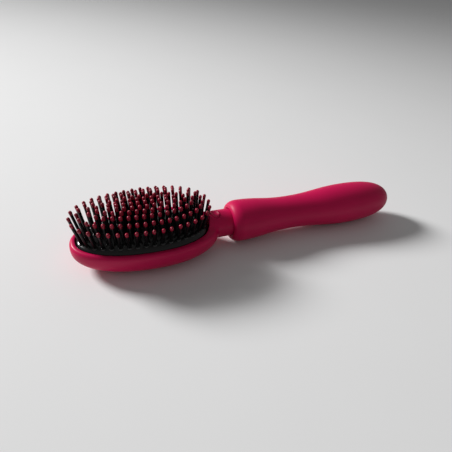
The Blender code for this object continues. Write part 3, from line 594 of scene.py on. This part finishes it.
def stretch_across(piece, amount, x):
    """Widen a piece along Y about the brush's middle plane."""
    leave_edit()
    bpy.context.view_layer.objects.active = piece
    bpy.ops.object.mode_set(mode="EDIT")
    bpy.ops.mesh.select_all(action="SELECT")
    bpy.ops.transform.resize(value=(1, amount, 1), center_override=(x, 0, 0))
    leave_edit()
    return piece


def apply(piece, kind, **settings):
    """Add a modifier, set it and apply it."""
    step = piece.modifiers.new(kind.title(), kind)
    for label, value in settings.items():
        setattr(step, label, value)
    pick_out(piece)
    bpy.ops.object.modifier_apply(modifier=step.name)


def combine(piece, tool, operation):
    """Cut a piece with a tool or fuse the tool to it, and clear the tool away."""
    apply(piece, "BOOLEAN", operation=operation, solver="EXACT", object=tool)
    bpy.data.objects.remove(tool)


def soften_hollows(piece, passes, crisp_below):
    """Round off inner corners, such as where the neck grows out of the bowl.

    Below the given height they stay nearly as crisp as they were.
    """
    hollow_bend, spread_steps, spread_share = -0.25, 13, 0.94
    crisp_share, fade_height, least_share = 0.12, 4 * MM, 0.02
    mesh = bmesh.new()
    mesh.from_mesh(piece.data)
    weight = {}
    for point in mesh.verts:
        bend = sum(edge.calc_face_angle_signed(0) for edge in point.link_edges)
        weight[point.index] = 1.0 if bend < hollow_bend else 0.0
    for _ in range(spread_steps):
        spread = dict(weight)
        for point in mesh.verts:
            near = [weight[edge.other_vert(point).index] for edge in point.link_edges]
            spread[point.index] = max(weight[point.index], spread_share * max(near))
        weight = spread
    mesh.free()
    group = piece.vertex_groups.new(name="hollows")
    for index, amount in weight.items():
        above = (piece.data.vertices[index].co.z - crisp_below) / fade_height
        amount *= min(max(above, crisp_share), 1)
        if amount > least_share:
            group.add([index], amount, "REPLACE")
    apply(piece, "SMOOTH", factor=0.5, iterations=passes, vertex_group="hollows")
    piece.vertex_groups.clear()


def rub(piece, amount_at):
    """Store how much each point of a piece gets rubbed in use."""
    layer = piece.data.attributes.new("rubbed", "FLOAT", "POINT")
    for point, amount in zip(piece.data.vertices, layer.data):
        amount.value = amount_at(point.co)


def dress(piece, finish, body, crease, replaces=()):
    """Smooth a piece but for its creases, finish it, and let it ride on its body."""
    pick_out(piece)
    bpy.ops.object.shade_smooth_by_angle(angle=math.radians(crease))
    piece.data.materials.clear()
    piece.data.materials.append(finish_named(finish))
    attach(piece, body)
    if replaces:
        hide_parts(*replaces)
    leave_edit()


def oval_middle(head):
    """Middle of the head's oval along X."""
    return SHELL_LOW.x + head.head_length / 2


def well_oval(head, inset):
    """Half sizes and middle of the well's oval, which keeps a wider rim at the neck."""
    shift = head.neck_rim_extra / 2
    return (head.head_length / 2 - inset - shift, head.head_width / 2 - inset,
            oval_middle(head) - shift)


def bowl_stations(head, half_length, half_width, x, bottom, top, steps):
    """Ovals up the side of a bowl that has a small flat on its bottom."""
    depth = top - bottom
    full = depth + head.back_flat
    first = math.acos((depth / full) ** (head.bowl_power / 2))
    stations = []
    for i in range(steps + 1):
        angle = first + (math.pi / 2 - first) * i / steps
        low = max(math.cos(angle), 0) ** (2 / head.bowl_power)
        wide = math.sin(angle) ** (2 / head.bowl_power)
        stations.append((half_length * wide, half_width * wide, x, top - full * low))
    stations[0] = (*stations[0][:3], bottom)
    stations[-1] = (half_length, half_width, x, top)
    return stations


class BRUSH_OT_head_shell(Operator):
    """Model the oval bowl with its neck, the cushion's well and the bores"""

    bl_idname = "styling_brush.head_shell"
    bl_label = "Head Shell"

    fused_voxel, cut_voxel = 0.5 * MM, 0.42 * MM
    hollow_passes, crisp_below, last_passes = 90, 10 * MM, 6
    # The rubbed band's height, the share of the oval where it sets in, and how fast.
    rub_height, rub_from, rub_rise = 2.2 * MM, 0.86, 8
    side_steps, lip_steps, flare_steps, well_steps = 26, 10, 12, 8
    bowl_sides, neck_sides, well_sides, bore_sides, button_sides = 128, 72, 96, 64, 72

    def execute(self, context):
        head = context.scene.brush_head
        shell = self.model_bowl(head)
        combine(shell, self.model_neck(head), "UNION")
        apply(shell, "REMESH", mode="VOXEL", voxel_size=self.fused_voxel)
        soften_hollows(shell, self.hollow_passes, self.crisp_below)
        *wide_tools, button_tool = self.model_cutters(head)
        for tool in wide_tools:
            combine(shell, tool, "DIFFERENCE")
        apply(shell, "REMESH", mode="VOXEL", voxel_size=self.cut_voxel)
        apply(shell, "SMOOTH", factor=0.5, iterations=self.last_passes)
        combine(shell, button_tool, "DIFFERENCE")
        middle, rim = oval_middle(head), head.rim_z

        def lip(point):
            height = max(0, 1 - abs(point.z - rim) / self.rub_height)
            reach = math.hypot((point.x - middle) / head.head_length,
                               point.y / head.head_width) * 2
            return height * max(0, min((reach - self.rub_from) * self.rub_rise, 1))

        rub(shell, lip)
        dress(shell, "soft_shell", "head", 40, ("head_shell",))
        return {"FINISHED"}

    def model_bowl(self, head):
        middle = oval_middle(head)
        side = head.rim_z - head.round_height
        half_length, half_width = head.head_length / 2, head.head_width / 2
        stations = bowl_stations(
            head, half_length, half_width, middle, 0, side, self.side_steps)
        for inwards, up in rounded_edge(self.lip_steps)[1:]:
            inset = head.round_width * inwards
            stations.append((half_length - inset, half_width - inset, middle,
                             side + head.round_height * up))
        bowl = grow_ovals("head_shell_smooth", head, stations, self.bowl_sides)
        return close_up(bowl)

    def model_neck(self, head):
        root = SHELL_LOW.x + head.head_length
        radius = head.neck_radius
        stations = []
        for i in range(self.flare_steps + 1):
            left = 1 - i / self.flare_steps
            stations.append((root - head.flare_length * left,
                             radius + head.flare_width * left ** 2, radius))
        stations.append((SHELL_HIGH.x, radius, radius))
        return grow_tube("neck_form", stations, self.neck_sides)

    def model_cutters(self, head):
        """The well with the hollow under it, the switch bore and the button's well."""
        ledge = head.rim_z - head.recess_depth
        inner = well_oval(head, head.rim_width + head.ledge_width)
        outer = well_oval(head, head.rim_width)
        above = SHELL_HIGH.z + OVERCUT
        stations = bowl_stations(
            head, *inner, head.wall, ledge - head.ledge_width, self.well_steps)
        stations += [(*inner, ledge), (*outer, ledge), (*outer, above)]
        yield close_up(grow_ovals("well_tool", head, stations, self.well_sides))
        bore = head.neck_radius - head.neck_wall
        start = (SHELL_LOW.x + head.head_length - head.rim_width - head.neck_rim_extra
                 + head.button_land)
        stations = [(start, bore, bore), (SHELL_HIGH.x + OVERCUT, bore, bore)]
        yield grow_tube("bore_tool", stations, self.bore_sides)
        radius = FLANGE_RADIUS - head.button_flange + head.seat
        outline = [(0, AXIS_Z), (radius, AXIS_Z), (radius, above), (0, above)]
        well = turn_upright("button_tool", outline, self.button_sides, BUTTON_X, AXIS_Z)
        yield stretch_across(well, head.button_stretch, BUTTON_X)


class BRUSH_OT_power_button(Operator):
    """Model the dished push button, which follows the neck's round"""

    bl_idname = "styling_brush.power_button"
    bl_label = "Power Button"

    flange_height, cap_depth, rubbed_depth = 1 * MM, 1.9 * MM, 1.2 * MM
    edge_round, dish_depth = 0.55 * MM, 1.25 * MM
    edge_steps, dish_steps, sides = 6, 10, 72

    def execute(self, context):
        head = context.scene.brush_head
        radius = FLANGE_RADIUS - head.button_flange
        low, top = BUTTON_LOW.z, BUTTON_HIGH.z
        shoulder = low + self.flange_height
        cap = top - self.cap_depth
        outline = [(0, low), (FLANGE_RADIUS, low), (FLANGE_RADIUS, shoulder),
                   (radius, shoulder), (radius, cap), (radius, top - self.edge_round)]
        for inwards, up in rounded_edge(self.edge_steps)[1:]:
            outline.append((radius - self.edge_round * inwards,
                            top - self.edge_round * (1 - up)))
        for i in range(1, self.dish_steps + 1):
            out = 1 - i / self.dish_steps
            outline.append(((radius - self.edge_round) * out,
                            top - self.dish_depth * (1 - out ** 2)))
        button = turn_upright("power_button_dished", outline, self.sides, BUTTON_X, low)
        stretch_across(button, head.button_stretch, BUTTON_X)
        for point in button.data.vertices:
            if point.co.z > cap:
                round_off = math.sqrt(head.neck_radius ** 2 - point.co.y ** 2)
                point.co.z -= head.neck_radius - round_off
        rub(button, lambda point: 1.0 if point.z > top - self.rubbed_depth else 0.0)
        dress(button, "soft_shell", "button", 50, ("power_button",))
        return {"FINISHED"}


class BRUSH_OT_handle_sleeve(Operator):
    """Model the soft sleeve with its collar, waist and bulb"""

    bl_idname = "styling_brush.handle_sleeve"
    bl_label = "Handle Sleeve"

    mouth_round, mouth_steps, sides = 0.35 * MM, 4, 112
    # Pull of the curves at the collar, before the waist, and from there to the bulb.
    collar_pull, waist_pull, bulb_pull = 0.43, 0.46, 0.45
    curve_steps = (16, 22, 24, 30)
    # The inner wall follows every fourth point, and stays clear of both its ends.
    stride, clear = 4, 0.5 * MM
    collar_rub, collar_rub_share, under_rub = 4 * MM, 0.8, 3 * MM

    def execute(self, context):
        handle = context.scene.brush_handle
        head = context.scene.brush_head
        mouth = head.neck_radius + head.seat
        outside = self.outline(handle, mouth)
        inside = self.inner_wall(outside, handle)
        lip = [(self.mouth_round * inwards, mouth + self.mouth_round * (1 - up))
               for inwards, up in rounded_edge(self.mouth_steps)]
        points = [*reversed(outside), *lip, (handle.mouth_wall, mouth), *inside]
        drawn = [(SLEEVE_LOW.x + along, 0, AXIS_Z + radius) for along, radius in points]
        sleeve = draw_and_spin("handle_sleeve_smooth", drawn, self.sides,
                               (SLEEVE_LOW.x, 0, AXIS_Z), (1, 0, 0))
        crest = SLEEVE_LOW.x + handle.collar_at

        def rubbed(point):
            collar = max(0, 1 - abs(point.x - crest) / self.collar_rub)
            under = max(0, 1 - (point.z - SLEEVE_LOW.z) / self.under_rub)
            return min(self.collar_rub_share * collar + under, 1)

        rub(sleeve, rubbed)
        dress(sleeve, "soft_sleeve", "handle", 60,
              ("handle_sleeve",))
        return {"FINISHED"}

    def outline(self, handle, mouth):
        """The outline from the mouth's outer edge to the round end."""
        start = mouth + handle.mouth_edge
        rise = handle.collar_radius - start
        end = SLEEVE_HIGH.x - SLEEVE_LOW.x
        collar_at, collar = handle.collar_at, handle.collar_radius
        waist_at, waist = handle.waist_at, handle.waist_radius
        bulb_at, bulb = handle.bulb_at, handle.bulb_radius
        to_waist, to_bulb = waist_at - collar_at, bulb_at - waist_at
        knots = [(0, start), (collar_at, collar), (waist_at, waist), (bulb_at, bulb),
                 (end, 0)]
        pulls = [
            ((0, start + rise * handle.shoulder[0]),
             (collar_at * handle.shoulder[1], collar)),
            ((collar_at + to_waist * self.collar_pull, collar),
             (waist_at - to_waist * self.waist_pull, waist)),
            ((waist_at + to_bulb * self.bulb_pull, waist),
             (bulb_at - to_bulb * self.bulb_pull, bulb)),
            ((bulb_at + (end - bulb_at) * handle.nose[0], bulb),
             (end, bulb * handle.nose[1])),
        ]
        points = []
        for first, (leave, reach), last, steps in zip(
                knots, pulls, knots[1:], self.curve_steps):
            run = interpolate_bezier(*map(Vector, (first, leave, reach, last)), steps)
            points += [(p.x, max(p.y, 0)) for p in (run[1:] if points else run)]
        return points

    def inner_wall(self, outside, handle):
        """The outline moved inwards by the wall, from the mouth to the inner end."""
        moved = []
        for i in range(0, len(outside) - 1, self.stride):
            (x, r), (next_x, next_r) = outside[i:i + 2]
            along = Vector((next_x - x, next_r - r)).normalized()
            inner_x, inner_r = x + along.y * handle.wall, r - along.x * handle.wall
            if inner_x > handle.mouth_wall + self.clear and inner_r > self.clear:
                moved.append((inner_x, inner_r))
        return [(handle.mouth_wall, moved[0][1]), *moved,
                (outside[-1][0] - handle.wall, 0)]


def pad_height(cushion, rim, level):
    """Height of the cushion at a level from 0, its edge, to 1, its ridge."""
    dome = 1 - max(1 - level, 0) ** cushion.dome_power
    return rim - cushion.edge_drop + cushion.dome_height * dome


def pad_oval(head, cushion, level):
    """Half sizes and middle of the cushion's contour at a level."""
    half_length, half_width, x = well_oval(head, head.rim_width + cushion.groove)
    # The ridge is all but a line, because a ring of no width couldn't be resized.
    ridge_width = 1e-7
    return (half_length * (1 - level * (1 - cushion.ridge)),
            max(half_width * (1 - level), ridge_width), x)


def pad_level(head, cushion, x, y):
    """Level of the contour that passes through a place, found by halving."""
    halvings = 24
    low, high = 0.0, 1.0
    for _ in range(halvings):
        level = (low + high) / 2
        half_length, half_width, middle = pad_oval(head, cushion, level)
        along = (x - middle) / half_length
        across = y / (half_width * (1 + head.taper * along))
        if abs(along) ** head.oval_power + abs(across) ** head.oval_power < 1:
            low = level
        else:
            high = level
    return low


class BRUSH_OT_cushion(Operator):
    """Model the domed rubber cushion in its well"""

    bl_idname = "styling_brush.cushion"
    bl_label = "Rubber Cushion"

    # The edge rolls over by an eighth of a turn, and the dome's contours follow.
    roll, roll_turn, roll_steps = 0.9 * MM, math.pi / 4, 5
    contours, contour_power, sides = 44, 1.15, 120
    merge = 0.02 * MM

    def execute(self, context):
        head = context.scene.brush_head
        cushion = context.scene.brush_cushion
        half_length, half_width, x = edge = pad_oval(head, cushion, 0)
        roll_z = head.rim_z - cushion.edge_drop - self.roll
        stations = [(*edge, cushion.foot_z), (*edge, roll_z)]
        for inwards, up in rounded_edge(self.roll_steps, self.roll_turn)[1:]:
            inset = self.roll * inwards
            stations.append((half_length - inset, half_width - inset, x,
                             roll_z + self.roll * up))
        for i in range(2, self.contours + 1):
            level = (i / self.contours) ** self.contour_power
            stations.append((*pad_oval(head, cushion, level),
                             pad_height(cushion, head.rim_z, level)))
        pad = grow_ovals("cushion_dome", head, stations, self.sides)
        close_up(pad, self.merge)
        dress(pad, "gloss_cushion", "head", 70, ("cushion_edge",))
        return {"FINISHED"}


class BRUSH_OT_pins(Operator):
    """Model one pin, one tip and one collar, and set them out ring by ring"""

    bl_idname = "styling_brush.pins"
    bl_label = "Pins and Tips"

    seed = 11
    pin_sides, tip_sides, collar_sides = 8, 10, 9
    # The stem ends so many tip radii under the tip's middle, and goes on inside it.
    stem_gap, stem_inside = 1.6, 0.6 * MM
    # It is thick up to here, and slim from this share of its length on.
    thick_to, slim_from = 0.4 * MM, 0.7
    # The tip stands proud of the stem, and is a teardrop of (radius, height) shares.
    tip_proud, tip_low, tip_neck = 0.04 * MM, -1.55, -1.5
    teardrop = ((0.90, -0.9), (0.98, -0.4), (1, 0.05), (0.80, 0.60), (0.42, 0.90),
                (0, 1))
    # The collar's spread round the pin and its height, in millimetres.
    collar_steps, collar_top = ((0.75, -0.5), (0.45, 0.05), (0.15, 0.32)), 0.36
    # Points round a contour, between which the even places are found.
    fine = 720

    def execute(self, context):
        head = context.scene.brush_head
        cushion = context.scene.brush_cushion
        pins = context.scene.brush_pins
        models = self.model_pin(pins), self.model_tip(pins), self.model_collar(pins)
        pin, tip, collar = models
        chance = random.Random(self.seed)
        for ring in range(RINGS):
            stands = [self.stand(head, cushion, pins, ring, place, chance)
                      for place in self.places(head, cushion, pins, ring)]
            feet, stems, ends = zip(*stands)
            row = ring + 1
            node = "bristle_centre_row" if ring == CENTRE_ROW else f"bristle_ring_{row}"
            self.set_out(pin, f"pins_{row}", stems, "drawn_nylon", "pin_nylon", (node,))
            self.set_out(tip, f"tips_{row}", ends, "dipped_tip")
            self.set_out(collar, f"pin_collars_{row}", feet, "gloss_cushion",
                         "cushion_rubber")
        for model in models:
            bpy.data.objects.remove(model)
        return {"FINISHED"}

    def model_pin(self, pins):
        foot, neck = pins.foot_radius, pins.neck_radius
        stem = pins.pin_length - self.stem_gap * pins.tip_radius
        top = stem + self.stem_inside
        outline = [(0, -pins.root), (foot, -pins.root), (foot, self.thick_to),
                   (neck, stem * self.slim_from), (neck, top), (0, top)]
        return turn_upright("pin_model", outline, self.pin_sides)

    def model_tip(self, pins):
        radius = pins.tip_radius
        outline = [(0, self.tip_low * radius),
                   (pins.neck_radius + self.tip_proud, self.tip_neck * radius)]
        outline += [(wide * radius, high * radius) for wide, high in self.teardrop]
        return turn_upright("tip_model", outline, self.tip_sides)

    def model_collar(self, pins):
        steps = [(pins.foot_radius + spread * MM, height * MM)
                 for spread, height in self.collar_steps]
        outline = [(0, steps[0][1]), *steps, (0, self.collar_top * MM)]
        return turn_upright("collar_model", outline, self.collar_sides)

    def stand(self, head, cushion, pins, ring, place, chance):
        """How a pin's collar, stem and tip stand, each as a matrix."""
        x, y, out_x, out_y = place
        end = Vector((x + out_x * pins.reach_along[ring] - pins.rake,
                      y + out_y * pins.reach_across[ring],
                      head.rim_z + pins.tip_heights[ring]))
        end.x += chance.uniform(-1, 1) * pins.scatter
        end.y += chance.uniform(-1, 1) * pins.scatter
        y *= 1 - pins.feet_in[ring]
        level = pad_level(head, cushion, x, y)
        foot = Vector((x, y, pad_height(cushion, head.rim_z, level)))
        stem = end - foot
        turn = Vector((0, 0, 1)).rotation_difference(stem).to_matrix().to_4x4()
        stretch = Matrix.Scale(stem.length / pins.pin_length, 4, (0, 0, 1))
        at_foot = Matrix.Translation(foot) @ turn
        return at_foot, at_foot @ stretch, Matrix.Translation(end) @ turn

    def set_out(self, model, name, stands, finish, slot=None, replaces=()):
        """Copy a model to each stand, join the copies and dress the whole ring."""
        leave_edit()
        for matrix in stands:
            copy = bpy.data.objects.new(name, model.data.copy())
            copy.data.transform(matrix)
            bpy.context.collection.objects.link(copy)
            copy.select_set(True)
            bpy.context.view_layer.objects.active = copy
        bpy.ops.object.join()
        ring = bpy.context.view_layer.objects.active
        ring.name = ring.data.name = name
        dress(ring, finish, "head", 60, replaces)

    def places(self, head, cushion, pins, ring):
        """Even places along a contour, each with its outward direction in plan."""
        half_length, half_width, x = pad_oval(head, cushion, pins.levels[ring])
        count = pins.counts[ring]
        if ring == CENTRE_ROW:
            half_length *= pins.row_share
            step = 2 * half_length / (count - 1)
            return [(x - half_length + step * i, 0, 0, 0) for i in range(count)]
        points = [oval_point(head, math.tau * i / self.fine, half_length, half_width)
                  for i in range(self.fine + 1)]
        lengths = [0.0]
        for (x0, y0), (x1, y1) in zip(points, points[1:]):
            lengths.append(lengths[-1] + math.hypot(x1 - x0, y1 - y0))
        found = []
        index = 0
        for i in range(count):
            wanted = lengths[-1] * (i + pins.starts[ring]) / count
            while lengths[index + 1] < wanted:
                index += 1
            (x0, y0), (x1, y1) = points[index:index + 2]
            part = (wanted - lengths[index]) / (lengths[index + 1] - lengths[index])
            run = math.hypot(x1 - x0, y1 - y0)
            found.append((x + x0 + (x1 - x0) * part, y0 + (y1 - y0) * part,
                          (y1 - y0) / run, (x0 - x1) / run))
        return found


class BRUSH_OT_inner_finishes(Operator):
    """Give the plate, spigot, core and electronics their finishes"""

    bl_idname = "styling_brush.inner_finishes"
    bl_label = "Inner Finishes"

    finishes = {
        "black_moulding": ("base_plate", "neck_spigot", "mouth_ring", "tact_switch"),
        "grey_moulding": ("core_upper", "core_lower", "contact_carrier"),
        "printed_board": ("switch_board", "contact_board", "control_board"),
        "turned_brass": ("contact_pin_left", "contact_pin_right", "eccentric_weight"),
        "bright_steel": ("core_screw_left", "core_screw_right", "charge_socket",
                         "motor_can", "motor_shaft"),
        "matt_seal": ("spigot_seal", "motor_boot"),
        "open_foam": ("battery_pad",),
        "blue_film": ("battery_cell",),
    }

    def execute(self, context):
        for finish, nodes in self.finishes.items():
            for name in nodes:
                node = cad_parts[name]
                node.data.materials.clear()
                node.data.materials.append(finish_named(finish))
        return {"FINISHED"}


class BRUSH_OT_stage(Operator):
    """Set out the pale floor, the soft lamp, the even sky and the camera"""

    bl_idname = "styling_brush.stage"
    bl_label = "Stage"

    floor_width = 8
    lamp_aim = (-0.02, 0, 0.02)
    sensor_width, clip_start = 36, 0.01

    def execute(self, context):
        stage = context.scene.brush_stage
        self.lay_floor(stage)
        self.hang_lamp(stage)
        self.light_sky(context, stage)
        self.set_camera(context, stage)
        context.scene.view_settings.view_transform = "Standard"
        return {"FINISHED"}

    def lay_floor(self, stage):
        leave_edit()
        bpy.ops.mesh.primitive_plane_add(size=self.floor_width, location=(0, 0, 0))
        floor = bpy.context.object
        floor.name = floor.data.name = "studio_floor"
        floor.data.materials.append(floor_paper("floor_paper", stage.floor_tone))

    def hang_lamp(self, stage):
        leave_edit()
        bpy.ops.object.light_add(type="AREA", location=stage.key_place)
        lamp = bpy.context.object
        lamp.name = lamp.data.name = "key_lamp"
        lamp.data.energy = stage.key_power
        lamp.data.shape = "DISK"
        lamp.data.size = stage.key_size
        lamp.data.spread = stage.key_spread
        aim = Vector(self.lamp_aim) - Vector(stage.key_place)
        lamp.rotation_euler = aim.to_track_quat("-Z", "Y").to_euler()

    def light_sky(self, context, stage):
        world = context.scene.world or bpy.data.worlds.new("studio_sky")
        context.scene.world = world
        world.use_nodes = True
        sky = world.node_tree.nodes["Background"]
        sky.inputs["Color"].default_value = (1, 1, 1, 1)
        sky.inputs["Strength"].default_value = stage.sky

    def set_camera(self, context, stage):
        leave_edit()
        turn = (Matrix.Rotation(-stage.camera_turn, 3, "Z")
                @ Matrix.Rotation(math.pi / 2 - stage.camera_drop, 3, "X")
                @ Matrix.Rotation(stage.camera_roll, 3, "Z"))
        bpy.ops.object.camera_add(location=stage.camera_place, rotation=turn.to_euler())
        camera = bpy.context.object
        camera.name = camera.data.name = "photo_camera"
        camera.data.sensor_width = self.sensor_width
        camera.data.lens = stage.lens
        camera.data.clip_start = self.clip_start
        context.scene.camera = camera


class BRUSH_PT_panel(Panel):
    """Lists the brush's sizes and the operators that model it"""

    bl_idname = "BRUSH_PT_panel"
    bl_label = "Styling Brush"
    bl_space_type = "VIEW_3D"
    bl_region_type = "UI"
    bl_category = "Brush"

    def draw(self, context):
        column = self.layout.column(align=True)
        for operator in OPERATORS:
            column.operator(operator.bl_idname)
        for label in GROUPS:
            box = self.layout.box()
            box.label(text=label.replace("brush_", "").title())
            group = getattr(context.scene, label)
            for name in group.__annotations__:
                box.prop(group, name)


GROUPS = {
    "brush_head": BrushHeadSizes,
    "brush_handle": BrushHandleSizes,
    "brush_cushion": BrushCushionSizes,
    "brush_pins": BrushPinSizes,
    "brush_colours": BrushFinishColours,
    "brush_stage": BrushStageSettings,
}
OPERATORS = (
    BRUSH_OT_stage,
    BRUSH_OT_head_shell,
    BRUSH_OT_power_button,
    BRUSH_OT_handle_sleeve,
    BRUSH_OT_cushion,
    BRUSH_OT_pins,
    BRUSH_OT_inner_finishes,
)


register_classes, unregister_classes = bpy.utils.register_classes_factory(
    (*GROUPS.values(), *OPERATORS, BRUSH_PT_panel))


def register():
    register_classes()
    for label, group in GROUPS.items():
        setattr(bpy.types.Scene, label, PointerProperty(type=group))


def unregister():
    for label in GROUPS:
        delattr(bpy.types.Scene, label)
    unregister_classes()


def main():
    register()
    bpy.ops.styling_brush.stage()
    bpy.ops.styling_brush.head_shell()
    bpy.ops.styling_brush.power_button()
    bpy.ops.styling_brush.handle_sleeve()
    bpy.ops.styling_brush.cushion()
    bpy.ops.styling_brush.pins()
    bpy.ops.styling_brush.inner_finishes()


if __name__ == "__main__":
    main()
